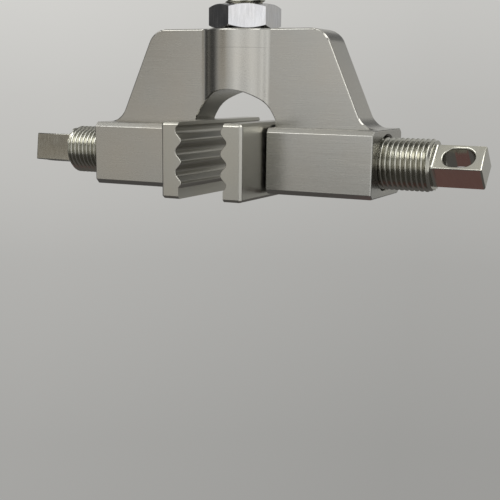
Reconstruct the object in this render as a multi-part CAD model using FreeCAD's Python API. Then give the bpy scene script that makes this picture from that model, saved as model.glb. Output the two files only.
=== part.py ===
"""Screw-action tensile test grip with wave-faced jaws, hanging from its stud, jaws down.

Millimetres. +Z is up along the load axis, +X runs along the clamping screws and +Y to the back.
The origin is on the load axis at the top face of the jam nut, where the stud leaves it.
Each side of the grip is drawn as the right-hand one, with x measured outwards from the load
axis, and the left-hand one is its mirror image in the plane x = 0.
"""
import FreeCAD
import Part
import math
import os

V = FreeCAD.Vector

# Yoke: two blocks under a web, with a round boss in the middle
BLOCK_OUTER_X = 61.5       # outer face of each block from the load axis
BLOCK_INNER_X = 18.0       # inner face of each block from the load axis
BLOCK_HEIGHT = 25.6
BLOCK_DEPTH = 34.0
BLOCK_CHAMFER = 1.8        # four long edges of each block
WEB_HEIGHT = 37.4          # web's top above the blocks' top
WEB_THICKNESS = 16.6
WEB_TOP_HALF = 37.6        # half width of the web's top, before its corners are rounded
WEB_FOOT_SETBACK = 7.1     # where the web's sides meet the blocks, in from their outer faces
WEB_CORNER_RADIUS = 9.0    # rounded top corners
WEB_FOOT_RADIUS = 8.6      # hollow corners at the foot
ARCH_RADIUS = 19.3
ARCH_CENTRE_UP = 7.6       # arch centre above the screw axis
BOSS_RADIUS = 15.2
BOSS_BLEND_RADIUS = 5.0    # hollow blend between boss and web
EDGE_BREAK = 0.4           # small chamfer on machined edges
WEB_EDGE_BREAK = 0.5       # along the outline of the web and of the boss's top
ARCH_EDGE_BREAK = 0.4

# Stud and jam nut on the load axis
STUD_RADIUS = 8.0
STUD_FREE_LENGTH = 14.0    # above the nut
STUD_ENGAGEMENT = 16.0     # in the boss
STUD_END_CHAMFER = 1.2
STUD_RELIEF_DEPTH = 1.0    # groove that parts the free thread from the held one
STUD_FIT = 0.02            # radial clearance at the major diameter
STUD_HOLE_SPARE = 1.5      # hole deeper than the stud reaches
DRILL_POINT_SLOPE = 0.6    # height of a drill point over its radius
NUT_ACROSS_FLATS = 25.0
NUT_HEIGHT = 9.4
NUT_CORNER_ANGLE = 30.0    # turned chamfer on the hexagon's corners, in degrees
NUT_BORE_CHAMFER = 1.0

# Clamping screws
THREAD_RADIUS = 10.0       # major radius of the thread
THREAD_LENGTH = 29.4
THREAD_END_CHAMFER = 1.2
THREAD_SPARE = 0.4         # thread's start beyond the guide when the jaw is closed
THREAD_CLEARANCE = 0.05    # radial, between the screw and its tapped hole
TAPPED_MOUTH_CHAMFER = 1.2
DRIVE_SIDE = 11.5          # square end
DRIVE_LENGTH = 19.2
DRIVE_ROOT_RADIUS = 1.2    # left by the cutter where the flats meet the thread's end
DRIVE_EDGE_BREAK = 0.35    # what the turned blank takes off the corners, on each flat
DRIVE_END_CHAMFER = 0.6
BAR_HOLE_WIDTH = 8.2       # oval cross hole in the square end, across the screw
BAR_HOLE_LENGTH = 11.6     # the same hole along the screw
BAR_HOLE_CHAMFER = 0.8
LEFT_DRIVE_TURN = -8.0     # how far each square is turned about its axis, in degrees
RIGHT_DRIVE_TURN = 47.0
NOSE_RADIUS = 5.5
NOSE_CLEARANCE = 0.06      # radial, between the nose and its bore in the shank
NOSE_LIP = 1.9             # end of the nose that the retaining pins pull on
NOSE_GROOVE_RADIUS = 3.9
NOSE_GROOVE_CLEARANCE = 0.06

# Square shanks between screws and jaws
SHANK_SIDE = 16.0
SHANK_LENGTH = 23.6
SHANK_EDGE_CHAMFER = 0.8
SHANK_CLEARANCE = 0.05     # each side, in the guide
GUIDE_LENGTH = 24.0        # square guide in each block, from its inner face
GUIDE_RUN_IN = 0.5         # tapped hole's start inside the guide's end

# Jaws
JAW_WIDTH = 72.0           # along Y
JAW_HEIGHT = 29.4
JAW_THICKNESS = 7.7        # back to the middle of the waves
JAW_CHAMFER = 1.0
WAVE_PITCH = 8.0
WAVE_DEPTH = 2.4
WAVE_COUNT = 3
WAVE_START_UP = 13.4       # where the first wave starts, above the screw axis
WAVE_TIP_RADIUS = 1.4      # narrow crests of the left jaw and roots of the right one
WAVE_ROOT_RADIUS = 2.2     # wide roots of the left jaw and crests of the right one
WAVE_EDGE_BREAK = 0.3      # rounded edge where the waves run out at the jaw's ends
LEFT_JAW_BACK_X = 17.8     # back of each jaw from the load axis, as the jaws stand open
RIGHT_JAW_BACK_X = 17.0

# What joins jaw, shank and screw
STEM_RADIUS = 5.0
STEM_REACH = 12.0          # into the shank
STEM_SEAT = 4.0            # into the jaw's back
STEM_CHAMFER = 0.5
JAW_PIN_RADIUS = 3.0
JAW_PIN_FROM_BACK = 7.75   # pin axis behind the jaw's back
JAW_PIN_RECESS = 0.3       # each end below the shank's face
PIN_HOLE_CHAMFER = 0.5
PIN_CHAMFER = 0.3
PIN_FIT = 0.01             # radial, for pins and the stem in their holes
RETAINING_PIN_RADIUS = 1.5
RETAINING_PIN_CLEARANCE = 0.08
RETAINING_PIN_RECESS = 0.2
BALL_RADIUS = 2.5
BALL_SEAT_RADIUS = 1.8     # mouth of the centre-drilled 90 degree seats
BALL_SEAT_CLEARANCE = 0.02
OVERRUN = 1.0              # how far cuts and joined ends reach past a face

# Levels and stations that follow from the sizes above
BLOCK_TOP_Z = -(NUT_HEIGHT + WEB_HEIGHT)
AXIS_Z = BLOCK_TOP_Z - BLOCK_HEIGHT / 2
WEB_TOP_Z = -NUT_HEIGHT
ARCH_CENTRE_Z = AXIS_Z + ARCH_CENTRE_UP
BALL_STANDOFF = BALL_RADIUS * math.sqrt(2) - BALL_SEAT_RADIUS + BALL_SEAT_CLEARANCE
PIN_GROOVE_WIDTH = 2 * (RETAINING_PIN_RADIUS + RETAINING_PIN_CLEARANCE)
RETAINING_PIN_OFF = NOSE_GROOVE_RADIUS + NOSE_GROOVE_CLEARANCE + RETAINING_PIN_RADIUS
TRAVEL = max(LEFT_JAW_BACK_X, RIGHT_JAW_BACK_X) - JAW_THICKNESS    # open jaw to the load axis

# Stations behind each jaw's back, measured outwards along the screw
NOSE_END = STEM_REACH + 2 * BALL_STANDOFF
RETAINING_PIN_AT = NOSE_END + NOSE_LIP + PIN_GROOVE_WIDTH / 2
THREAD_START = GUIDE_LENGTH + TRAVEL + THREAD_SPARE
THREAD_END = THREAD_START + THREAD_LENGTH
DRIVE_END = THREAD_END + DRIVE_LENGTH


def box(x_low, x_high, y_low, y_high, z_low, z_high):
    return Part.makeBox(x_high - x_low, y_high - y_low, z_high - z_low, V(x_low, y_low, z_low))


def rod_x(radius, start, end):
    """Cylinder on the screw axis from x = start to x = end."""
    return Part.makeCylinder(radius, end - start, V(start, 0, AXIS_Z), V(1, 0, 0))


def cone_x(start_radius, end_radius, start, end):
    return Part.makeCone(start_radius, end_radius, end - start, V(start, 0, AXIS_Z), V(1, 0, 0))


def bar_x(side, start, end):
    """Square bar on the screw axis."""
    half = side / 2
    return box(start, end, -half, half, AXIS_Z - half, AXIS_Z + half)


def line(start, end):
    return Part.LineSegment(start, end).toShape()


def arc(start, middle, end):
    return Part.Arc(start, middle, end).toShape()


def outline_face(edges):
    return Part.Face(Part.Wire(edges))


def chamfer_where(shape, size, wanted):
    """Chamfer every edge of the shape for which wanted(edge) is true."""
    return shape.makeChamfer(size, [edge for edge in shape.Edges if wanted(edge)])


def flat_range(edge, axis, value, slack=1e-4):
    """True when the whole edge lies at one value of an axis."""
    low = getattr(edge.BoundBox, axis + "Min")
    high = getattr(edge.BoundBox, axis + "Max")
    return abs(low - value) < slack and abs(high - value) < slack


def mirrored(shape):
    return shape.mirror(V(0, 0, 0), V(1, 0, 0))


def rounded_corner(before, corner, after, radius):
    """Tangent points and middle of an arc that rounds a corner of an outline."""
    to_before = (before - corner).normalize()
    to_after = (after - corner).normalize()
    half_angle = to_before.getAngle(to_after) / 2
    tangent = radius / math.tan(half_angle)
    bisector = (to_before + to_after).normalize()
    start = corner + to_before * tangent
    end = corner + to_after * tangent
    middle = corner + bisector * (radius / math.sin(half_angle) - radius)
    return start, middle, end


def web_outline():
    """Right half of the web's outline from the load axis at the top to its foot."""
    y = -WEB_THICKNESS / 2
    top_middle = V(0, y, WEB_TOP_Z)
    top_corner = V(WEB_TOP_HALF, y, WEB_TOP_Z)
    foot_corner = V(BLOCK_OUTER_X - WEB_FOOT_SETBACK, y, BLOCK_TOP_Z)
    block_corner = V(BLOCK_OUTER_X, y, BLOCK_TOP_Z)
    top = rounded_corner(top_middle, top_corner, foot_corner, WEB_CORNER_RADIUS)
    foot = rounded_corner(top_corner, foot_corner, block_corner, WEB_FOOT_RADIUS)
    low_end = V(foot[2].x, y, AXIS_Z)
    low_middle = V(0, y, AXIS_Z)
    return [
        line(top_middle, top[0]), arc(*top), line(top[2], foot[0]), arc(*foot),
        line(foot[2], low_end), line(low_end, low_middle), line(low_middle, top_middle),
    ]


def web_half():
    return outline_face(web_outline()).extrude(V(0, WEB_THICKNESS, 0))


def boss():
    """Round boss with its hollow blends, as one plan outline raised to the web's top."""
    half_web = WEB_THICKNESS / 2
    centre_y = half_web + BOSS_BLEND_RADIUS
    centre_x = math.sqrt((BOSS_RADIUS + BOSS_BLEND_RADIUS) ** 2 - centre_y ** 2)
    touch = BOSS_RADIUS / (BOSS_RADIUS + BOSS_BLEND_RADIUS)
    turn = math.atan2(centre_x, centre_y) / 2
    edges = []
    for side in (-1, 1):
        web_left = V(-centre_x, side * half_web, ARCH_CENTRE_Z)
        web_right = V(centre_x, side * half_web, ARCH_CENTRE_Z)
        boss_left = V(-centre_x * touch, side * centre_y * touch, ARCH_CENTRE_Z)
        boss_right = V(centre_x * touch, side * centre_y * touch, ARCH_CENTRE_Z)
        blend_x = centre_x - BOSS_BLEND_RADIUS * math.sin(turn)
        blend_y = side * (centre_y - BOSS_BLEND_RADIUS * math.cos(turn))
        edges.append(arc(web_left, V(-blend_x, blend_y, ARCH_CENTRE_Z), boss_left))
        edges.append(arc(boss_left, V(0, side * BOSS_RADIUS, ARCH_CENTRE_Z), boss_right))
        edges.append(arc(boss_right, V(blend_x, blend_y, ARCH_CENTRE_Z), web_right))
    edges.append(line(V(-centre_x, -half_web, ARCH_CENTRE_Z), V(-centre_x, half_web, ARCH_CENTRE_Z)))
    edges.append(line(V(centre_x, -half_web, ARCH_CENTRE_Z), V(centre_x, half_web, ARCH_CENTRE_Z)))
    ordered = Part.__sortEdges__(edges)
    return outline_face(ordered).extrude(V(0, 0, WEB_TOP_Z - ARCH_CENTRE_Z))


def block():
    half_depth = BLOCK_DEPTH / 2
    solid = box(BLOCK_INNER_X, BLOCK_OUTER_X, -half_depth, half_depth,
                BLOCK_TOP_Z - BLOCK_HEIGHT, BLOCK_TOP_Z)
    long_edges = lambda edge: edge.BoundBox.XLength > BLOCK_CHAMFER
    solid = chamfer_where(solid, BLOCK_CHAMFER, long_edges)
    end_edges = lambda edge: flat_range(edge, "X", BLOCK_OUTER_X) or flat_range(edge, "X", BLOCK_INNER_X)
    return chamfer_where(solid, EDGE_BREAK, end_edges)


def arch_cut():
    """The gap between the blocks with its round top, cut through from front to back."""
    reach = BLOCK_DEPTH
    meet_up = math.sqrt(ARCH_RADIUS ** 2 - BLOCK_INNER_X ** 2)
    wall_top = ARCH_CENTRE_Z + meet_up
    low = BLOCK_TOP_Z - 2 * BLOCK_HEIGHT
    left_low = V(-BLOCK_INNER_X, -reach, low)
    left_top = V(-BLOCK_INNER_X, -reach, wall_top)
    crown = V(0, -reach, ARCH_CENTRE_Z + ARCH_RADIUS)
    right_top = V(BLOCK_INNER_X, -reach, wall_top)
    right_low = V(BLOCK_INNER_X, -reach, low)
    edges = [line(left_low, left_top), arc(left_top, crown, right_top),
             line(right_top, right_low), line(right_low, left_low)]
    return outline_face(edges).extrude(V(0, 2 * reach, 0))


def screw_passage():
    """Square guide and tapped hole through one block."""
    guide_side = SHANK_SIDE + 2 * SHANK_CLEARANCE
    guide_end = BLOCK_INNER_X + GUIDE_LENGTH
    hole_radius = THREAD_RADIUS + THREAD_CLEARANCE
    guide = bar_x(guide_side, BLOCK_INNER_X - OVERRUN, guide_end)
    hole = rod_x(hole_radius, guide_end - GUIDE_RUN_IN, BLOCK_OUTER_X + OVERRUN)
    mouth = cone_x(hole_radius, hole_radius + TAPPED_MOUTH_CHAMFER,
                   BLOCK_OUTER_X - TAPPED_MOUTH_CHAMFER, BLOCK_OUTER_X)
    return guide.fuse(hole).fuse(mouth)


def stud_hole():
    radius = STUD_RADIUS + STUD_FIT
    depth = STUD_ENGAGEMENT + STUD_HOLE_SPARE
    hole = Part.makeCylinder(radius, depth, V(0, 0, WEB_TOP_Z - depth))
    point = Part.makeCone(0, radius, radius * DRILL_POINT_SLOPE,
                          V(0, 0, WEB_TOP_Z - depth - radius * DRILL_POINT_SLOPE))
    mouth = Part.makeCone(radius, radius + STUD_END_CHAMFER, STUD_END_CHAMFER,
                          V(0, 0, WEB_TOP_Z - STUD_END_CHAMFER))
    return hole.fuse(point).fuse(mouth)


def web_body():
    """Web and boss with the arch cut out, their edges broken, down to the screw axis."""
    half = web_half()
    body = half.fuse(mirrored(half)).fuse(boss()).removeSplitter().cut(arch_cut())
    half_web = WEB_THICKNESS / 2
    on_face = lambda edge: flat_range(edge, "Y", half_web) or flat_range(edge, "Y", -half_web)
    beyond_arch = lambda edge: max(abs(edge.BoundBox.XMin), abs(edge.BoundBox.XMax)) > ARCH_RADIUS
    above_axis = lambda edge: edge.BoundBox.ZMax > AXIS_Z + EDGE_BREAK
    top_front = lambda edge: flat_range(edge, "Z", WEB_TOP_Z) and edge.BoundBox.XLength > EDGE_BREAK
    outline = lambda edge: top_front(edge) or (on_face(edge) and beyond_arch(edge) and above_axis(edge))
    body = chamfer_where(body, WEB_EDGE_BREAK, outline)
    return chamfer_where(body, ARCH_EDGE_BREAK, on_arch_rim)


def on_arch_rim(edge):
    """True for the curved edges where the arch meets the front or the back of web and boss."""
    room = edge.BoundBox
    within_walls = max(abs(room.XMin), abs(room.XMax)) < BLOCK_INNER_X + EDGE_BREAK
    one_side = room.YMax < 0 or room.YMin > 0
    in_arch = room.ZMin > BLOCK_TOP_Z and room.ZMax < ARCH_CENTRE_Z + ARCH_RADIUS + EDGE_BREAK
    return within_walls and one_side and in_arch and room.ZLength > EDGE_BREAK


def yoke():
    body = web_body()
    for solid in (block(), mirrored(block())):
        body = body.fuse(solid)
    body = body.removeSplitter()
    passage = screw_passage()
    body = body.cut(passage).cut(mirrored(passage))
    return body.cut(stud_hole()).removeSplitter()


def stud():
    """Threaded stud, with a relief groove in the nut's countersunk mouth."""
    low = WEB_TOP_Z - STUD_ENGAGEMENT
    solid = Part.makeCylinder(STUD_RADIUS, STUD_FREE_LENGTH - low, V(0, 0, low))
    ends = lambda edge: flat_range(edge, "Z", low) or flat_range(edge, "Z", STUD_FREE_LENGTH)
    solid = chamfer_where(solid, STUD_END_CHAMFER, ends)
    foot = V(0, 0, -NUT_BORE_CHAMFER)
    ring = Part.makeCylinder(STUD_RADIUS + OVERRUN, NUT_BORE_CHAMFER, foot)
    ring = ring.cut(Part.makeCylinder(STUD_RADIUS - STUD_RELIEF_DEPTH, NUT_BORE_CHAMFER, foot))
    return solid.cut(ring)


def hexagon(across_flats, z):
    corner_radius = across_flats / math.sqrt(3)
    turns = [math.radians(30 + 60 * step) for step in range(7)]
    points = [V(corner_radius * math.cos(turn), corner_radius * math.sin(turn), z) for turn in turns]
    return Part.Face(Part.makePolygon(points))


def jam_nut():
    """Hexagon nut with its corners turned away at both ends."""
    corner_radius = NUT_ACROSS_FLATS / math.sqrt(3)
    flat_radius = NUT_ACROSS_FLATS / 2
    slope = math.tan(math.radians(NUT_CORNER_ANGLE))
    turned_radius = flat_radius - EDGE_BREAK
    height = (corner_radius - turned_radius) * slope
    solid = hexagon(NUT_ACROSS_FLATS, WEB_TOP_Z).extrude(V(0, 0, NUT_HEIGHT))
    top = Part.makeCone(corner_radius, turned_radius, height, V(0, 0, -height))
    middle = Part.makeCylinder(corner_radius, NUT_HEIGHT - 2 * height, V(0, 0, WEB_TOP_Z + height))
    bottom = Part.makeCone(turned_radius, corner_radius, height, V(0, 0, WEB_TOP_Z))
    solid = solid.common(top.fuse(middle).fuse(bottom))
    bore_radius = STUD_RADIUS + STUD_FIT
    bore = Part.makeCylinder(bore_radius, NUT_HEIGHT, V(0, 0, WEB_TOP_Z))
    mouth = Part.makeCone(bore_radius, bore_radius + NUT_BORE_CHAMFER, NUT_BORE_CHAMFER,
                          V(0, 0, -NUT_BORE_CHAMFER))
    foot = Part.makeCone(bore_radius + NUT_BORE_CHAMFER, bore_radius, NUT_BORE_CHAMFER,
                         V(0, 0, WEB_TOP_Z))
    return solid.cut(bore).cut(mouth).cut(foot)


def flank_angle():
    """Slope of the straight flank that is tangent to a crest and a root."""
    radii = WAVE_TIP_RADIUS + WAVE_ROOT_RADIUS
    rise = radii - WAVE_DEPTH
    run = WAVE_PITCH / 2
    return math.asin(radii / math.hypot(run, rise)) - math.atan2(rise, run)


def wave_edges(middle_x, first_side):
    """The waves as arcs and straight flanks, in the plane y = 0, from the top down.

    x grows into the jaw's material. first_side is 1 when a root comes first, and -1
    when a crest comes first.
    """
    angle = flank_angle()
    edges = []
    here = V(middle_x, 0, AXIS_Z + WAVE_START_UP)
    for step in range(2 * WAVE_COUNT):
        side = first_side if step % 2 == 0 else -first_side
        narrow = (step % 2 == 1)
        radius = WAVE_TIP_RADIUS if narrow else WAVE_ROOT_RADIUS
        z = AXIS_Z + WAVE_START_UP - (step + 0.5) * WAVE_PITCH / 2
        extreme = V(middle_x + side * WAVE_DEPTH / 2, 0, z)
        centre_x = extreme.x - side * radius
        touch_x = centre_x + side * radius * math.cos(angle)
        upper = V(touch_x, 0, z + radius * math.sin(angle))
        lower = V(touch_x, 0, z - radius * math.sin(angle))
        edges.append(line(here, upper))
        edges.append(arc(upper, extreme, lower))
        here = lower
    end = V(middle_x, 0, AXIS_Z + WAVE_START_UP - WAVE_COUNT * WAVE_PITCH)
    edges.append(line(here, end))
    return edges


def jaw(back_x, first_side):
    """Jaw plate as drawn on the right: its back at back_x, its waves facing the load axis."""
    middle_x = back_x - JAW_THICKNESS
    top = AXIS_Z + JAW_HEIGHT / 2
    bottom = AXIS_Z - JAW_HEIGHT / 2
    waves = wave_edges(middle_x, first_side)
    wave_top = V(middle_x, 0, AXIS_Z + WAVE_START_UP)
    wave_bottom = V(middle_x, 0, AXIS_Z + WAVE_START_UP - WAVE_COUNT * WAVE_PITCH)
    corners = [V(middle_x, 0, bottom), V(back_x, 0, bottom), V(back_x, 0, top), V(middle_x, 0, top)]
    edges = waves + [line(wave_bottom, corners[0]), line(corners[0], corners[1]),
                     line(corners[1], corners[2]), line(corners[2], corners[3]),
                     line(corners[3], wave_top)]
    section = outline_face(Part.__sortEdges__(edges))
    section.translate(V(0, -JAW_WIDTH / 2, 0))
    plate = section.extrude(V(0, JAW_WIDTH, 0))
    half_width = JAW_WIDTH / 2
    ends = lambda edge: flat_range(edge, "Y", half_width) or flat_range(edge, "Y", -half_width)
    outer = lambda edge: (flat_range(edge, "X", back_x) or
                          ends(edge) and (flat_range(edge, "Z", top) or flat_range(edge, "Z", bottom)))
    between = lambda edge: (edge.BoundBox.ZMax < wave_top.z + PIN_FIT and
                            edge.BoundBox.ZMin > wave_bottom.z - PIN_FIT)
    plate = plate.makeFillet(WAVE_EDGE_BREAK, [e for e in plate.Edges if ends(e) and between(e)])
    plate = chamfer_where(plate, JAW_CHAMFER, outer)
    seat = rod_x(STEM_RADIUS + PIN_FIT, back_x - STEM_SEAT, back_x + OVERRUN)
    return plate.cut(seat)


def cone_seat(face_x, outwards):
    """Centre-drilled 90 degree seat in a face, opening outwards (1) or inwards (-1)."""
    tip = face_x - outwards * BALL_SEAT_RADIUS
    return Part.makeCone(0, BALL_SEAT_RADIUS, BALL_SEAT_RADIUS, V(tip, 0, AXIS_Z), V(outwards, 0, 0))


def pin_y(radius, x, half_length):
    return Part.makeCylinder(radius, 2 * half_length, V(x, -half_length, AXIS_Z), V(0, 1, 0))


def jaw_stem(back_x):
    low, high = back_x - STEM_SEAT, back_x + STEM_REACH
    solid = rod_x(STEM_RADIUS, low, high)
    ends = lambda edge: flat_range(edge, "X", low) or flat_range(edge, "X", high)
    solid = chamfer_where(solid, STEM_CHAMFER, ends)
    cross = pin_y(JAW_PIN_RADIUS + PIN_FIT, back_x + JAW_PIN_FROM_BACK, SHANK_SIDE)
    return solid.cut(cross).cut(cone_seat(high, 1))


def shank(back_x):
    end_x = back_x + SHANK_LENGTH
    half = SHANK_SIDE / 2
    solid = bar_x(SHANK_SIDE, back_x, end_x)
    long_edges = lambda edge: edge.BoundBox.XLength > SHANK_EDGE_CHAMFER
    solid = chamfer_where(solid, SHANK_EDGE_CHAMFER, long_edges)
    solid = solid.cut(rod_x(STEM_RADIUS + PIN_FIT, back_x - OVERRUN, back_x + STEM_REACH + PIN_FIT))
    solid = solid.cut(rod_x(NOSE_RADIUS + NOSE_CLEARANCE, back_x + STEM_REACH, end_x + OVERRUN))
    pin_x = back_x + JAW_PIN_FROM_BACK
    solid = solid.cut(pin_y(JAW_PIN_RADIUS + PIN_FIT, pin_x, SHANK_SIDE))
    for side in (-1, 1):
        rim = Part.makeCone(JAW_PIN_RADIUS + PIN_FIT, JAW_PIN_RADIUS + PIN_FIT + PIN_HOLE_CHAMFER,
                            PIN_HOLE_CHAMFER, V(pin_x, side * (half - PIN_HOLE_CHAMFER), AXIS_Z),
                            V(0, side, 0))
        solid = solid.cut(rim)
        solid = solid.cut(retaining_pin(back_x, side, RETAINING_PIN_RADIUS + PIN_FIT, SHANK_SIDE))
    return solid


def jaw_pin(back_x):
    half_length = SHANK_SIDE / 2 - JAW_PIN_RECESS
    solid = pin_y(JAW_PIN_RADIUS, back_x + JAW_PIN_FROM_BACK, half_length)
    ends = lambda edge: flat_range(edge, "Y", half_length) or flat_range(edge, "Y", -half_length)
    return chamfer_where(solid, PIN_CHAMFER, ends)


def retaining_pin(back_x, side, radius, half_length):
    foot = V(back_x + RETAINING_PIN_AT, side * RETAINING_PIN_OFF, AXIS_Z - half_length)
    return Part.makeCylinder(radius, 2 * half_length, foot)


def retaining_pins(back_x):
    half_length = SHANK_SIDE / 2 - RETAINING_PIN_RECESS
    pins = [retaining_pin(back_x, side, RETAINING_PIN_RADIUS, half_length) for side in (-1, 1)]
    return Part.makeCompound(pins)


def thrust_ball(back_x):
    return Part.makeSphere(BALL_RADIUS, V(back_x + STEM_REACH + BALL_STANDOFF, 0, AXIS_Z))


def bar_hole(middle_x):
    """Oval hole along Z through the square end, with both mouths chamfered."""
    half = DRIVE_SIDE / 2
    reach = half + OVERRUN
    radius = BAR_HOLE_WIDTH / 2
    shift = (BAR_HOLE_LENGTH - BAR_HOLE_WIDTH) / 2
    hole = box(middle_x - shift, middle_x + shift, -radius, radius, AXIS_Z - reach, AXIS_Z + reach)
    for x in (middle_x - shift, middle_x + shift):
        hole = hole.fuse(Part.makeCylinder(radius, 2 * reach, V(x, 0, AXIS_Z - reach)))
    for side in (-1, 1):
        wide = radius + BAR_HOLE_CHAMFER
        face_z = AXIS_Z + side * half
        deep_z = face_z - side * BAR_HOLE_CHAMFER
        for x in (middle_x - shift, middle_x + shift):
            mouth = Part.makeCone(radius, wide, BAR_HOLE_CHAMFER, V(x, 0, deep_z), V(0, 0, side))
            hole = hole.fuse(mouth)
        corners = [V(middle_x - shift, -radius, deep_z), V(middle_x - shift, radius, deep_z),
                   V(middle_x - shift, wide, face_z), V(middle_x - shift, -wide, face_z)]
        hole = hole.fuse(Part.Face(Part.makePolygon(corners + corners[:1])).extrude(V(2 * shift, 0, 0)))
    return hole


def square_end(start, end):
    """Square milled on a turned blank: four flats with the cutter's radius at their root."""
    flat = AXIS_Z + DRIVE_SIDE / 2
    clear = AXIS_Z + THREAD_RADIUS
    outline = [(start, flat), (end - DRIVE_END_CHAMFER, flat),
               (end + OVERRUN, flat - DRIVE_END_CHAMFER - OVERRUN), (end + OVERRUN, clear),
               (start, clear), (start, flat)]
    face = Part.Face(Part.makePolygon([V(x, -THREAD_RADIUS, z) for x, z in outline]))
    cut = face.extrude(V(0, 2 * THREAD_RADIUS, 0))
    root = lambda edge: flat_range(edge, "X", start) and flat_range(edge, "Z", flat)
    cut = cut.makeFillet(DRIVE_ROOT_RADIUS, [edge for edge in cut.Edges if root(edge)])
    blank_radius = math.hypot(DRIVE_SIDE / 2, DRIVE_SIDE / 2 - DRIVE_EDGE_BREAK)
    solid = rod_x(blank_radius, start - OVERRUN, end)
    for quarter in range(4):
        solid = solid.cut(cut.rotated(V(0, 0, AXIS_Z), V(1, 0, 0), 90 * quarter))
    return solid


def clamping_screw(back_x, turn):
    """Screw with nose, thread and square end, turned by `turn` degrees about its axis."""
    nose_start = back_x + NOSE_END
    thread_start = back_x + THREAD_START
    thread_end = back_x + THREAD_END
    drive_end = back_x + DRIVE_END
    thread = rod_x(THREAD_RADIUS, thread_start, thread_end)
    ends = lambda edge: flat_range(edge, "X", thread_start) or flat_range(edge, "X", thread_end)
    thread = chamfer_where(thread, THREAD_END_CHAMFER, ends)
    nose = rod_x(NOSE_RADIUS, nose_start, thread_start + OVERRUN)
    nose = chamfer_where(nose, EDGE_BREAK, lambda edge: flat_range(edge, "X", nose_start))
    groove_start = nose_start + NOSE_LIP
    groove_end = groove_start + PIN_GROOVE_WIDTH
    ring = rod_x(NOSE_RADIUS + OVERRUN, groove_start, groove_end)
    ring = ring.cut(rod_x(NOSE_GROOVE_RADIUS, groove_start - OVERRUN, groove_end + OVERRUN))
    nose = nose.cut(ring).cut(cone_seat(nose_start, -1))
    drive = square_end(thread_end, drive_end).cut(bar_hole((thread_end + drive_end) / 2))
    solid = nose.fuse(thread).fuse(drive)
    solid.rotate(V(0, 0, AXIS_Z), V(1, 0, 0), turn)
    return solid.removeSplitter()


def main():
    os.makedirs("parts", exist_ok=True)
    pieces = {"yoke": yoke(), "stud": stud(), "jam_nut": jam_nut()}
    sides = (
        ("left", LEFT_JAW_BACK_X, 1, LEFT_DRIVE_TURN, mirrored),
        ("right", RIGHT_JAW_BACK_X, -1, RIGHT_DRIVE_TURN, lambda shape: shape),
    )
    for side, back_x, first_side, turn, place in sides:
        pieces[side + "_jaw"] = place(jaw(back_x, first_side))
        pieces[side + "_jaw_stem"] = place(jaw_stem(back_x))
        pieces[side + "_jaw_pin"] = place(jaw_pin(back_x))
        pieces[side + "_shank"] = place(shank(back_x))
        pieces[side + "_retaining_pins"] = place(retaining_pins(back_x))
        pieces[side + "_thrust_ball"] = place(thrust_ball(back_x))
        pieces[side + "_clamping_screw"] = place(clamping_screw(back_x, turn))
    for name, shape in pieces.items():
        shape.exportStep("parts/" + name + ".step")
        print(name, "solids", len(shape.Solids), "valid", shape.isValid(), "volume", round(shape.Volume, 1))


main()
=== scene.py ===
# Tensile test grip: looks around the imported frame, in metres
import math

import bmesh
import bpy
from mathutils import Matrix, Vector


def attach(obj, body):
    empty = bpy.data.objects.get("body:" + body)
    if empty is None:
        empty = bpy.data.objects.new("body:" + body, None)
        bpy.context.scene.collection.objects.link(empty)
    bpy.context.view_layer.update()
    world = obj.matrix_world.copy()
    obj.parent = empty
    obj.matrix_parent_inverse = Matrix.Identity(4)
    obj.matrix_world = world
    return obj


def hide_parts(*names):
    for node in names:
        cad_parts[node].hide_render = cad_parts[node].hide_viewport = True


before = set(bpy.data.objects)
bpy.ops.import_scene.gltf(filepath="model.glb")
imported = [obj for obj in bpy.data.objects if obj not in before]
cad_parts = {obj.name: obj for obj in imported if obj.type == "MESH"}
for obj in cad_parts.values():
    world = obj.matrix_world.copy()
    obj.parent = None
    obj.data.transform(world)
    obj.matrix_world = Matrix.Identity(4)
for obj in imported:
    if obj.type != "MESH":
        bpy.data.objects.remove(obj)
bpy.context.view_layer.update()
mm = 0.001
axisZ = -59.6 * mm                      # the clamping screws' axis
mergeDistance = 1e-6                    # points closer than this become one
cutDistance = 1e-7                      # points closer than this to a cut lie on it
print("frame loaded:", len(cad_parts), "nodes")


# sRGB hex to the linear colour that sockets take
def linear(hexColour):
    channels = [int(hexColour[i:i + 2], 16) / 255 for i in (1, 3, 5)]
    lin = [c / 12.92 if c <= 0.04045 else ((c + 0.055) / 1.055) ** 2.4 for c in channels]
    return (*lin, 1.0)


# One node with its settings, its plain socket values and the sockets that feed it
def addNode(tree, kind, settings={}, values={}, links={}):
    node = tree.nodes.new("ShaderNode" + kind)
    for name, value in settings.items():
        setattr(node, name, value)
    for name, value in values.items():
        node.inputs[name].default_value = value
    for name, source in links.items():
        tree.links.new(source, node.inputs[name])
    return node


# A colour ramp whose stops are (position from 0 to 1, grey level or hex colour)
def addRamp(tree, factor, stops):
    node = addNode(tree, "ValToRGB", {}, {}, {"Fac": factor})
    ramp = node.color_ramp
    while len(ramp.elements) < len(stops):
        ramp.elements.new(0.5)
    for element, (position, level) in zip(ramp.elements, stops):
        element.position = position
    for element, (position, level) in zip(ramp.elements, stops):
        element.color = linear(level) if isinstance(level, str) else (level, level, level, 1.0)
    return node.outputs["Color"]


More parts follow.
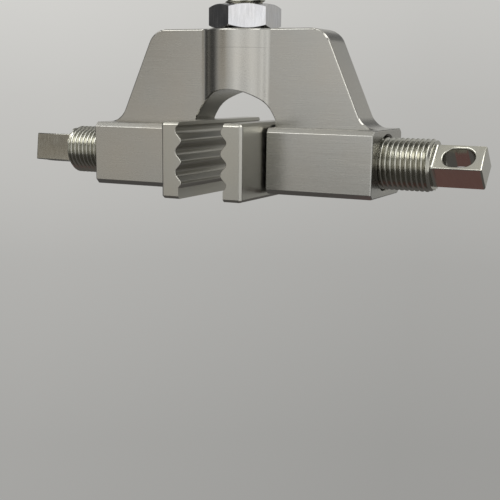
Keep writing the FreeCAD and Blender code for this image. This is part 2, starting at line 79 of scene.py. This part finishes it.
# Camera, solved from the photo together with the part's sizes
camera = {
    "place": (187.0711 * mm, -374.1607 * mm, -29.2854 * mm),
    "forward": (-0.42817933, 0.87460897, -0.22742384),
    "up": (-0.1113466, 0.19868351, 0.97371803),
    "lens": 72.627,
    "sensor": 36.0,
    "shift": (-0.0002, 0.1326),
    "nearest": 0.01,
}
forward, up = Vector(camera["forward"]), Vector(camera["up"])
right = forward.cross(up)
lookData = bpy.data.cameras.new("camera")
lookData.lens = camera["lens"]
lookData.sensor_width = camera["sensor"]
lookData.shift_x, lookData.shift_y = camera["shift"]
lookData.clip_start = camera["nearest"]
look = bpy.data.objects.new("camera", lookData)
bpy.context.scene.collection.objects.link(look)
turn = Matrix((right, up, -forward)).transposed().to_4x4()
look.matrix_world = Matrix.Translation(camera["place"]) @ turn
bpy.context.scene.camera = look
bpy.context.scene.view_settings.view_transform = "Standard"


def newObject(name, bm):
    mesh = bpy.data.meshes.new(name)
    bm.to_mesh(mesh)
    bm.free()
    piece = bpy.data.objects.new(name, mesh)
    bpy.context.scene.collection.objects.link(piece)
    return piece


# Studio, which the steel mirrors: pale air that darkens downwards, a curved light wall with dark
# ends, three dull cards before it, and four dark boards below and above the part. There is no
# floor. Angles are in degrees, round the part from its front, or for the air up from level. Places
# and sizes are in metres. Levels are brightness, where 1 is white, set against single points of
# the photo
studio = {
    "air": [(-90, 0.30), (-20, 0.36), (-10, 0.42), (-6, 0.475), (-1, 0.525), (4, 0.60), (12, 0.62),
            (45, 0.64), (75, 0.85), (90, 0.85)],
    "airTint": "#fffefa",
    "airSide": {"From Min": -0.6, "From Max": -0.28, "To Min": 1.065, "To Max": 0.93},
    "wallRadius": 0.8,
    "wallLow": -0.34,
    "wallHigh": 0.75,
    "wallTop": [(-128, 0.75), (-80, 0.75), (-72, 0.24), (46, 0.24), (54, 0.60), (72, 0.60), (80, 0.24),
                (88, 0.40), (126, 0.40)],
    "wall": [(-128, 0.10), (-94, 0.09), (-84, 0.05), (-76, 0.09), (-66, 0.38), (-58, 0.60), (-48, 0.72),
             (-38, 0.72), (-27, 0.79), (-20, 0.93), (-6, 1.27), (4, 1.40), (14, 1.28), (25, 1.20),
             (35, 1.26), (46, 1.38), (56, 1.28), (67, 1.15), (78, 0.85), (86, 0.18), (126, 0.10)],
    "wallPeak": 1.4,
    "wallFade": [(-0.34, 0.30), (-0.26, 0.80), (-0.18, 0.93), (-0.12, 0.94), (-0.08, 1.0), (0.75, 1.0)],
    "wallTint": [(-128, "#ffffff"), (-66, "#ffffff"), (-52, "#fffaf2"), (-32, "#fffaf2"),
                 (-26, "#ffffff"), (126, "#ffffff")],
    "arcSteps": 120,
    "cardRadius": 0.7,
    "brownCard": {"span": (-52, -34), "z": (-0.005, 0.14), "level": 0.30, "colour": "#fff4e6"},
    "greyCard": {"span": (-25, -6), "z": (-0.24, -0.085), "level": 0.52, "colour": "#fffdf8"},
    "blackCard": {"span": (12, 40), "z": (-0.30, -0.10), "level": 0.12, "colour": "#fffdf8"},
    "lowerBoard": {"place": (0, 0, -0.24), "size": (1.0, 1.0), "level": 0.14, "colour": "#fffaf8"},
    "redBoard": {"place": (0.05, 0.03, -0.23), "size": (0.10, 0.07), "level": 0.20, "colour": "#ffc4c0"},
    "upperBoard": {"place": (-0.25, 0.25, 0.50), "size": (1.0, 0.40), "level": 0.20, "colour": "#ffffff"},
    "backBoard": {"place": (0.05, 0.75, 0.25), "size": (0.26, 0.80), "level": 0.20, "colour": "#ffffff"},
}


# Paint that only glows, so that its level is what the steel mirrors
def glowPaint(name, strength):
    mat = bpy.data.materials.new(name)
    mat.use_nodes = True
    tree = mat.node_tree
    tree.nodes.remove(tree.nodes["Principled BSDF"])
    glow = addNode(tree, "Emission", {}, {"Strength": strength})
    tree.links.new(glow.outputs["Emission"], tree.nodes["Material Output"].inputs["Surface"])
    return mat, glow


# Glow of one even level and colour, for the cards and boards
def evenGlow(piece, name):
    mat, glow = glowPaint(name + "Paint", studio[name]["level"])
    glow.inputs["Color"].default_value = linear(studio[name]["colour"])
    piece.data.materials.append(mat)
    return piece


# A piece that the steel mirrors and the camera doesn't see
def mirroredObject(name, bm):
    piece = newObject(name, bm)
    piece.visible_camera = False
    return piece


# Value at a place in a table of (place, value)
def between(table, place):
    for (start, first), (end, last) in zip(table, table[1:]):
        if place <= end:
            return first + (last - first) * (place - start) / (end - start)
    return table[-1][1]


# Upright arc round the origin, from low up to the heights in the table tops
def arc(name, radius, span, low, tops):
    first, last = [math.radians(angle) for angle in span]
    post = 1.0                          # height before the top edge is set
    bm = bmesh.new()
    foot = bm.verts.new((radius * math.sin(first), -radius * math.cos(first), low))
    head = bm.verts.new((foot.co.x, foot.co.y, low + post))
    upright = bm.edges.new((foot, head))
    bmesh.ops.spin(bm, geom=[foot, head, upright], cent=(0, 0, 0), axis=(0, 0, 1), angle=last - first,
                   steps=studio["arcSteps"], use_merge=False)
    for vert in bm.verts:
        if vert.co.z > low + post / 2:
            vert.co.z = between(tops, math.degrees(math.atan2(vert.co.x, -vert.co.y)))
    return mirroredObject(name, bm)


# The wall's level follows the angle and fades towards its foot. A ramp holds no more than 1, so
# the levels are shares of the peak
def lightWall():
    stops, peak = studio["wall"], studio["wallPeak"]
    first, last = stops[0][0], stops[-1][0]
    wall = arc("lightWall", studio["wallRadius"], (first, last), studio["wallLow"], studio["wallTop"])
    mat, glow = glowPaint("lightWallGlow", peak)
    tree = mat.node_tree
    place = addNode(tree, "TexCoord").outputs["Object"]
    parts = addNode(tree, "SeparateXYZ", {}, {}, {"Vector": place})
    back = addNode(tree, "Math", {"operation": "MULTIPLY"}, {1: -1.0}, {0: parts.outputs["Y"]})
    azimuth = addNode(tree, "Math", {"operation": "ARCTAN2"}, {},
                      {0: parts.outputs["X"], 1: back.outputs[0]})
    share = addNode(tree, "MapRange", {}, {"From Min": math.radians(first), "From Max": math.radians(last)},
                    {"Value": azimuth.outputs[0]})
    levels = [((angle - first) / (last - first), level / peak) for angle, level in stops]
    tints = [((angle - first) / (last - first), colour) for angle, colour in studio["wallTint"]]
    tinted = addNode(tree, "VectorMath", {"operation": "MULTIPLY"}, {},
                     {0: addRamp(tree, share.outputs["Result"], levels),
                      1: addRamp(tree, share.outputs["Result"], tints)})
    tree.links.new(tinted.outputs["Vector"], glow.inputs["Color"])
    low, high = studio["wallLow"], studio["wallHigh"]
    rise = addNode(tree, "MapRange", {}, {"From Min": low, "From Max": high}, {"Value": parts.outputs["Z"]})
    fades = [((z - low) / (high - low), level) for z, level in studio["wallFade"]]
    faded = addNode(tree, "Math", {"operation": "MULTIPLY"}, {1: peak},
                    {0: addRamp(tree, rise.outputs["Result"], fades)})
    tree.links.new(faded.outputs[0], glow.inputs["Strength"])
    wall.data.materials.append(mat)
    return wall


def dullCard(name):
    card = studio[name]
    low, high = card["z"]
    tops = [(-180, high), (180, high)]  # the same height all round
    return evenGlow(arc(name, studio["cardRadius"], card["span"], low, tops), name)


def darkBoard(name):
    board = studio[name]
    bm = bmesh.new()
    bmesh.ops.create_grid(bm, x_segments=1, y_segments=1, size=0.5)     # one metre across
    bmesh.ops.scale(bm, verts=bm.verts, vec=(*board["size"], 1))
    bmesh.ops.translate(bm, verts=bm.verts, vec=board["place"])
    return evenGlow(mirroredObject(name, bm), name)


# White soft lamps aimed at the part: one from the front left above, two small ones at the right
# for the edges; power in watts
lampAim = (0, 0, -0.05)
lamps = {
    "keyLamp": {"place": (-0.345, -0.443, 0.520), "size": (0.62, 0.36), "power": 2.9},
    "rimLamp": {"place": (0.44, 0.0, 0.60), "size": (0.30, 0.30), "power": 1.0},
    "edgeLamp": {"place": (0.49, -0.28, 0.50), "size": (0.25, 0.55), "power": 0.9},
}


def softLamp(name):
    spec = lamps[name]
    data = bpy.data.lights.new(name, "AREA")
    data.shape = "RECTANGLE"
    data.size, data.size_y = spec["size"]
    data.energy = spec["power"]
    lamp = bpy.data.objects.new(name, data)
    bpy.context.scene.collection.objects.link(lamp)
    away = (Vector(lampAim) - Vector(spec["place"])).to_track_quat("-Z", "Y")
    lamp.matrix_world = Matrix.Translation(spec["place"]) @ away.to_matrix().to_4x4()


lightWall()
dullCard("brownCard")
dullCard("greyCard")
dullCard("blackCard")
darkBoard("lowerBoard")
darkBoard("redBoard")
darkBoard("upperBoard")
darkBoard("backBoard")
for name in lamps:
    softLamp(name)

# The air is also the picture's background: its level follows the height of the look, and airSide
# makes it a little lighter to the left
world = bpy.data.worlds.new("studioAir")
bpy.context.scene.world = world
world.use_nodes = True
air = world.node_tree
lookWay = addNode(air, "TexCoord").outputs["Generated"]
lookParts = addNode(air, "SeparateXYZ", {}, {}, {"Vector": lookWay})
height = addNode(air, "MapRange", {}, {"From Min": -1.0, "From Max": 1.0}, {"Value": lookParts.outputs["Z"]})
airLevels = [((math.sin(math.radians(angle)) + 1) / 2, level) for angle, level in studio["air"]]
pale = addRamp(air, height.outputs["Result"], airLevels)
side = addNode(air, "MapRange", {}, studio["airSide"], {"Value": lookParts.outputs["X"]})
tinted = addNode(air, "VectorMath", {"operation": "MULTIPLY"}, {1: linear(studio["airTint"])[:3]}, {0: pale})
shaded = addNode(air, "VectorMath", {"operation": "SCALE"}, {},
                 {0: tinted.outputs["Vector"], "Scale": side.outputs["Result"]})
air.links.new(shaded.outputs["Vector"], air.nodes["Background"].inputs["Color"])
print("studio ready")

# Sizes in millimetres: streakMm is the size of a streak along X, Y and Z. Real tool lines are finer
# than these, which are drawn as coarse as they need to show
finishes = {
    # Milled steel: a soft even shine, with long fine streaks along the cut
    "yoke": {"warm": "#aba79e", "cool": "#a6a7a4", "streakMm": (14.0, 0.3, 0.3), "patchMm": 22.0,
             "shade": (0.97, 1.03), "roughness": (0.23, 0.28), "bump": 0.6},
    # Ground steel: duller and a little warmer, with streaks along the waves
    "jaw": {"warm": "#aeaba0", "cool": "#ababa6", "streakMm": (0.9, 12.0, 0.7), "patchMm": 16.0,
            "shade": (0.96, 1.03), "roughness": (0.28, 0.36), "bump": 0.1},
    # Turned steel: brighter and smoother, with faint short marks across X
    "screw": {"warm": "#b6b3a6", "cool": "#adaea8", "streakMm": (0.8, 3.0, 3.0), "patchMm": 8.0,
              "shade": (0.96, 1.03), "roughness": (0.17, 0.23), "bump": 0.05},
    # Ground pins, stems, shanks and balls: an even grey with a dull shine
    "pin": {"warm": "#a3a29e", "cool": "#a0a1a2", "streakMm": (0.8, 0.8, 6.0), "patchMm": 10.0,
            "shade": (0.95, 1.04), "roughness": (0.28, 0.38), "bump": 0.1},
    # Chrome plating: the brightest and smoothest, close to a mirror, slightly uneven
    "nut": {"warm": "#cfcdcb", "cool": "#c9cbd0", "streakMm": (0.9, 0.9, 6.0), "patchMm": 6.0,
            "shade": (0.86, 1.06), "roughness": (0.10, 0.20), "bump": 0.25},
}
noiseSpan = (0.3, 0.7)                  # most values of a noise lie between these
streakDepth = 0.02 * mm

# Painted shade in a thread's roots, which darkens the grooves between the crests: the distance from the axis
# at which it is darkest and where it ends
threadRootShade = {"across": (0, 1, 1), "centre": (0, 0, axisZ), "root": 9.3 * mm, "crest": 9.95 * mm,
             "dark": 0.08}

# One fine dark tool mark round the boss, fading out to its sides
toolMark = {"z": -16.7 * mm, "width": 0.22 * mm, "coreShare": 0.5, "reach": 15 * mm, "fadeShare": 0.8,
            "dark": 0.85}


# Steel with streaks along the cut and faint warm and cool patches, and painted shade in a thread's roots or a
# tool mark if given
def steelFinish(name, finish, rootShade=None, mark=None):
    mat = bpy.data.materials.new(name)
    mat.use_nodes = True
    tree = mat.node_tree
    shader = tree.nodes["Principled BSDF"]
    shader.inputs["Metallic"].default_value = 1.0
    noiseFrom = {"From Min": noiseSpan[0], "From Max": noiseSpan[1]}
    place = addNode(tree, "TexCoord").outputs["Object"]
    grain = [1 / (size * mm) for size in finish["streakMm"]]
    stretched = addNode(tree, "Mapping", {}, {"Scale": grain}, {"Vector": place}).outputs["Vector"]
    streaks = addNode(tree, "TexNoise", {}, {"Scale": 1.0, "Detail": 3.0, "Roughness": 0.6},
                      {"Vector": stretched}).outputs["Fac"]
    patches = addNode(tree, "TexNoise", {}, {"Scale": 1 / (finish["patchMm"] * mm), "Detail": 2.0},
                      {"Vector": place}).outputs["Fac"]
    tint = addNode(tree, "Mix", {"data_type": "RGBA"}, {}, {"Factor": patches})
    tint.inputs[6].default_value = linear(finish["warm"])       # 6 and 7 are the two colours
    tint.inputs[7].default_value = linear(finish["cool"])
    darkest, lightest = finish["shade"]
    shade = addNode(tree, "MapRange", {}, {**noiseFrom, "To Min": darkest, "To Max": lightest},
                    {"Value": streaks})
    shown = addNode(tree, "VectorMath", {"operation": "SCALE"}, {},
                    {0: tint.outputs[2], "Scale": shade.outputs["Result"]}).outputs["Vector"]
    # Painted shade: the colour darkens towards the thread's roots, standing in for the shade between the
    # crests
    if rootShade:
        out = addNode(tree, "VectorMath", {"operation": "MULTIPLY"}, {1: rootShade["across"]}, {0: place})
        off = addNode(tree, "VectorMath", {"operation": "SUBTRACT"}, {1: rootShade["centre"]},
                      {0: out.outputs["Vector"]})
        far = addNode(tree, "VectorMath", {"operation": "LENGTH"}, {}, {0: off.outputs["Vector"]})
        outsideRootShade = addNode(tree, "MapRange", {}, {"From Min": rootShade["root"], "From Max": rootShade["crest"],
                                               "To Min": rootShade["dark"], "To Max": 1.0},
                        {"Value": far.outputs["Value"]})
        shown = addNode(tree, "VectorMath", {"operation": "SCALE"}, {},
                        {0: shown, "Scale": outsideRootShade.outputs["Result"]}).outputs["Vector"]
    if mark:
        above = addNode(tree, "VectorMath", {"operation": "SUBTRACT"}, {1: (0, 0, mark["z"])}, {0: place})
        apart = addNode(tree, "VectorMath", {"operation": "ABSOLUTE"}, {}, {0: above.outputs["Vector"]})
        away = addNode(tree, "SeparateXYZ", {}, {}, {"Vector": apart.outputs["Vector"]})
        faded = addNode(tree, "MapRange", {}, {"From Min": mark["fadeShare"] * mark["reach"],
                                               "From Max": mark["reach"], "To Min": mark["dark"],
                                               "To Max": 1.0},
                        {"Value": away.outputs["X"]})
        line = addNode(tree, "MapRange", {}, {"From Min": mark["coreShare"] * mark["width"],
                                              "From Max": mark["width"], "To Max": 1.0},
                       {"Value": away.outputs["Z"], "To Min": faded.outputs["Result"]})
        shown = addNode(tree, "VectorMath", {"operation": "SCALE"}, {},
                        {0: shown, "Scale": line.outputs["Result"]}).outputs["Vector"]
    tree.links.new(shown, shader.inputs["Base Color"])
    smoothest, roughest = finish["roughness"]
    rough = addNode(tree, "MapRange", {}, {**noiseFrom, "To Min": smoothest, "To Max": roughest},
                    {"Value": streaks})
    tree.links.new(rough.outputs["Result"], shader.inputs["Roughness"])
    relief = addNode(tree, "Bump", {}, {"Strength": finish["bump"], "Distance": streakDepth},
                     {"Height": streaks})
    tree.links.new(relief.outputs["Normal"], shader.inputs["Normal"])
    return mat


satinYoke = steelFinish("satinMilledSteel", finishes["yoke"], mark=toolMark)
satinJaw = steelFinish("groundJawSteel", finishes["jaw"])
brightScrew = steelFinish("turnedScrewSteel", finishes["screw"])
# Thread steel with painted shade darkening its roots
rootShadedThread = steelFinish("rootShadedThreadSteel", finishes["screw"], rootShade=threadRootShade)
groundPin = steelFinish("groundPinSteel", finishes["pin"])
brightNut = steelFinish("chromePlatedSteel", finishes["nut"])

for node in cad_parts:
    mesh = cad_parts[node].data
    mesh.materials.clear()
    mesh.materials.append(groundPin)
print("steels ready")


# A CAD node's skin, its triangles joined to flat faces
def mergedCopy(node):
    flatWithin = math.radians(0.5)
    bm = bmesh.new()
    bm.from_mesh(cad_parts[node].data)
    bmesh.ops.remove_doubles(bm, verts=bm.verts, dist=mergeDistance)
    bmesh.ops.dissolve_limit(bm, angle_limit=flatWithin, verts=bm.verts, edges=bm.edges)
    return bm


# Smooth over chamfers and curves, with normals that follow the larger faces, so that a
# chamfer looks like a rounded edge; corners above the limit in degrees stay sharp
def shadeByArea(piece, sharpFrom):
    mesh = piece.data
    mesh.shade_smooth()
    mesh.set_sharp_from_angle(angle=math.radians(sharpFrom))
    weighting = piece.modifiers.new("faceArea", "WEIGHTED_NORMAL")
    weighting.keep_sharp = True
    weighting.weight = 90               # above 50 the larger faces lead
    bpy.context.view_layer.update()
    baked = bpy.data.meshes.new_from_object(piece.evaluated_get(bpy.context.evaluated_depsgraph_get()))
    piece.modifiers.clear()
    piece.data = baked


def dress(piece, node, materials, body, sharpFrom):
    piece.data.materials.clear()
    for material in materials:
        piece.data.materials.append(material)
    shadeByArea(piece, sharpFrom)
    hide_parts(node)
    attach(piece, body)


# Fine rounds on the edges of the chamfers, where light catches them. The web's outline has short
# edges, so there they are taken from a smaller length than on the blocks and jaws
edgeRound = {
    "size": 0.15 * mm,
    "webFoot": -46.9 * mm,
    "shortestOnWeb": 0.8 * mm,
    "shortestBelow": 4.0 * mm,
    "bend": (30, 60),                   # degrees between the two faces
    "narrowest": 0.4 * mm,              # least mean width of a face beside the edge
}


def roundChamferEdges(bm):
    flattest, steepest = edgeRound["bend"]
    picked = []
    for edge in bm.edges:
        span = edge.calc_length()
        onWeb = min(vert.co.z for vert in edge.verts) > edgeRound["webFoot"]
        shortest = edgeRound["shortestOnWeb"] if onWeb else edgeRound["shortestBelow"]
        if len(edge.link_faces) != 2 or span < shortest:
            continue
        narrow = min(face.calc_area() / span for face in edge.link_faces)
        bend = math.degrees(edge.calc_face_angle())
        if flattest < bend < steepest and narrow > edgeRound["narrowest"]:
            picked.append(edge)
    bmesh.ops.bevel(bm, geom=picked, offset=edgeRound["size"], offset_type="OFFSET", affect="EDGES",
                    segments=1, profile=0.5, material=-1, clamp_overlap=False)
    return len(picked)


# Skins of the yoke, the jaws and the nut
skins = {
    "yoke": ("satinYokeBody", satinYoke, "yoke", "yoke_steel"),
    "left_jaw": ("leftJawPlate", satinJaw, "left_jaw", "jaw_steel"),
    "right_jaw": ("rightJawPlate", satinJaw, "right_jaw", "jaw_steel"),
    "jam_nut": ("hexJamNut", brightNut, "yoke", "nut_steel"),
}
skinSharpFrom = 24
for node, (name, material, body, slot) in skins.items():
    skin = mergedCopy(node)
    if node != "jam_nut":
        print(name, "rounded chamfer edges:", roundChamferEdges(skin))
    dress(newObject(name, skin), node, [material], body, skinSharpFrom)
print("skins ready")


# Metric threads, right-handed, cut in full where the solids are plain cylinders; millimetres
thread = {
    "depthShare": 0.58,                 # of the pitch
    "crestGap": 0.02,                   # crest below the solid's major radius
    # Share of a turn and share of the depth, from crest to crest: broad crests, narrow roots
    "profile": [(0.0, 0.0), (0.09, 0.015), (0.145, 0.07), (0.19, 0.18), (0.44, 0.92), (0.5, 1.0),
                (0.56, 0.92), (0.81, 0.18), (0.855, 0.07), (0.91, 0.015)],
    "steps": 64,                        # of one turn
    "spareTurns": 2,                    # at each end, cut off again
    "sharpFrom": 35,
}


# Cones that chamfer both ends: (from, to, radius there, radius there)
def endCones(low, high, radius, chamfer):
    foot = radius - chamfer
    return [(low, low + chamfer, foot, radius), (high - chamfer, high, radius, foot)]


# Fill the open ends and turn all faces outwards
def closeUp(bm):
    bmesh.ops.holes_fill(bm, edges=[e for e in bm.edges if e.is_boundary], sides=0)
    bmesh.ops.recalc_face_normals(bm, faces=bm.faces)


# Helix along +X from low to high that stays inside the given cones
def threadSkin(low, high, radius, pitch, cones):
    bm = bmesh.new()
    crest, depth = radius - thread["crestGap"], thread["depthShare"] * pitch
    spare, steps = thread["spareTurns"], thread["steps"]
    turns = int((high - low) / pitch) + 2 * spare
    points = [((low + (lap - spare + share) * pitch) * mm, (crest - deep * depth) * mm)
              for lap in range(turns) for share, deep in thread["profile"]]
    line = [bm.verts.new((x, 0, r)) for x, r in points]
    edges = [bm.edges.new(pair) for pair in zip(line, line[1:])]
    bmesh.ops.spin(bm, geom=line + edges, cent=(0, 0, 0), axis=(1, 0, 0), angle=2 * math.pi,
                   dvec=(pitch * mm / steps, 0, 0), steps=steps, use_merge=False)
    bmesh.ops.remove_doubles(bm, verts=bm.verts, dist=mergeDistance)
    for vert in bm.verts:
        across = math.hypot(vert.co.y, vert.co.z)
        for start, end, startRadius, endRadius in cones:
            share = (vert.co.x / mm - start) / (end - start)
            if 0 <= share <= 1:
                most = (startRadius + (endRadius - startRadius) * share) * mm
                if across > most:
                    vert.co.y *= most / across
                    vert.co.z *= most / across
                    across = most
    for place, way in ((low, -1), (high, 1)):
        geometry = bm.verts[:] + bm.edges[:] + bm.faces[:]
        bmesh.ops.bisect_plane(bm, geom=geometry, plane_co=(place * mm, 0, 0), plane_no=(way, 0, 0),
                               clear_outer=True, dist=cutDistance)
    closeUp(bm)
    return bm


# Part of a merged copy beyond a plane across X, its cut end drawn out by sink into the thread;
# keep is 1 for the part towards +X and -1 for the other
def cutEnd(node, planeX, keep, sink):
    bm = mergedCopy(node)
    geometry = bm.verts[:] + bm.edges[:] + bm.faces[:]
    bmesh.ops.bisect_plane(bm, geom=geometry, plane_co=(planeX, 0, 0), plane_no=(-keep, 0, 0),
                           clear_outer=True, dist=cutDistance)
    rim = [e for e in bm.edges if e.is_boundary]
    drawn = bmesh.ops.extrude_edge_only(bm, edges=rim)["geom"]
    moved = [v for v in drawn if isinstance(v, bmesh.types.BMVert)]
    bmesh.ops.translate(bm, verts=moved, vec=(-keep * sink, 0, 0))
    closeUp(bm)
    return bm


# Clamping screws: a threaded length between the CAD nose and the CAD square end; millimetres
screw = {
    "radius": 10.0,
    "pitch": 2.0,
    "threadStart": 34.5,                # from the jaw's back
    "threadEnd": 63.9,
    "endChamfer": 1.2,
    "back": {"left": 17.8, "right": 17.0},
    "gap": 0.01,                        # between the thread and the cut ends
    "sink": 1.0,                        # how far the cut ends reach into the thread
}


def clampingScrew(side, sign):
    node = side + "_clamping_screw"
    back, gap = screw["back"][side], screw["gap"]
    near, far = back + screw["threadStart"], back + screw["threadEnd"]
    low, high = sorted((sign * near, sign * far))
    cones = endCones(low, high, screw["radius"], screw["endChamfer"])
    bm = threadSkin(low, high, screw["radius"], screw["pitch"], cones)
    bmesh.ops.translate(bm, verts=bm.verts, vec=(0, 0, axisZ))
    for face in bm.faces:
        face.material_index = 1         # the thread with painted shade in its roots
    for planeX, keep in ((sign * (far + gap) * mm, sign), (sign * (near - gap) * mm, -sign)):
        end = cutEnd(node, planeX, keep, screw["sink"] * mm)
        mesh = bpy.data.meshes.new("end")
        end.to_mesh(mesh)
        end.free()
        bm.from_mesh(mesh)
        bpy.data.meshes.remove(mesh)
    dress(newObject(side + "ThreadedScrew", bm), node, [brightScrew, rootShadedThread], side + "_screw",
          thread["sharpFrom"])


clampingScrew("left", -1)
clampingScrew("right", 1)

# Stud: the same kind of thread, stood upright, with its relief groove in the nut's mouth
stud = {"low": -25.4, "high": 14.0, "radius": 8.0, "pitch": 2.0, "endChamfer": 1.2,
        "grooveSpan": (-1.0, 0.0), "grooveRadius": 7.0}
groove = (*stud["grooveSpan"], stud["grooveRadius"], stud["grooveRadius"])
studCones = endCones(stud["low"], stud["high"], stud["radius"], stud["endChamfer"]) + [groove]
studSkin = threadSkin(stud["low"], stud["high"], stud["radius"], stud["pitch"], studCones)
bmesh.ops.rotate(studSkin, cent=(0, 0, 0), matrix=Matrix.Rotation(-math.pi / 2, 3, "Y"), verts=studSkin.verts)
dress(newObject("threadedStud", studSkin), "stud", [brightScrew], "yoke", thread["sharpFrom"])
print("threads ready")
